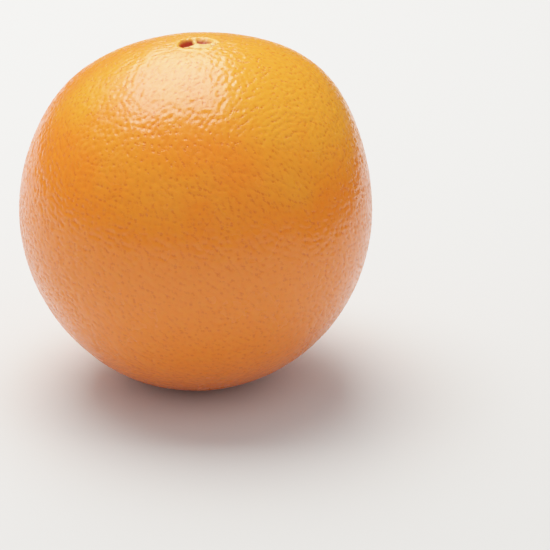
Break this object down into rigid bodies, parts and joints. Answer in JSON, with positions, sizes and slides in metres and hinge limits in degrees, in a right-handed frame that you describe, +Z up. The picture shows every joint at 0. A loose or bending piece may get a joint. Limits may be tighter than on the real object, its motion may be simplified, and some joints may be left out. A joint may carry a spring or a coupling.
{
  "type": "orange",
  "caption": "Whole sweet orange, stem end up with its button gone, resting on a small flat spot at the blossom end.",
  "frame": {"origin": "centre of the small resting flat at the blossom end, on the surface that the fruit stands on", "axes": "+Z up along the core, from the blossom end to the stem end; -Y towards a viewer facing the fuller shoulder on the right, +X to that viewer's right"},
  "size_m": [0.08, 0.0809, 0.08],
  "materials": {
    "peel": "satin"
  },
  "bodies": {
    "root": {"orange": "peel"}
  },
  "joints": []
}
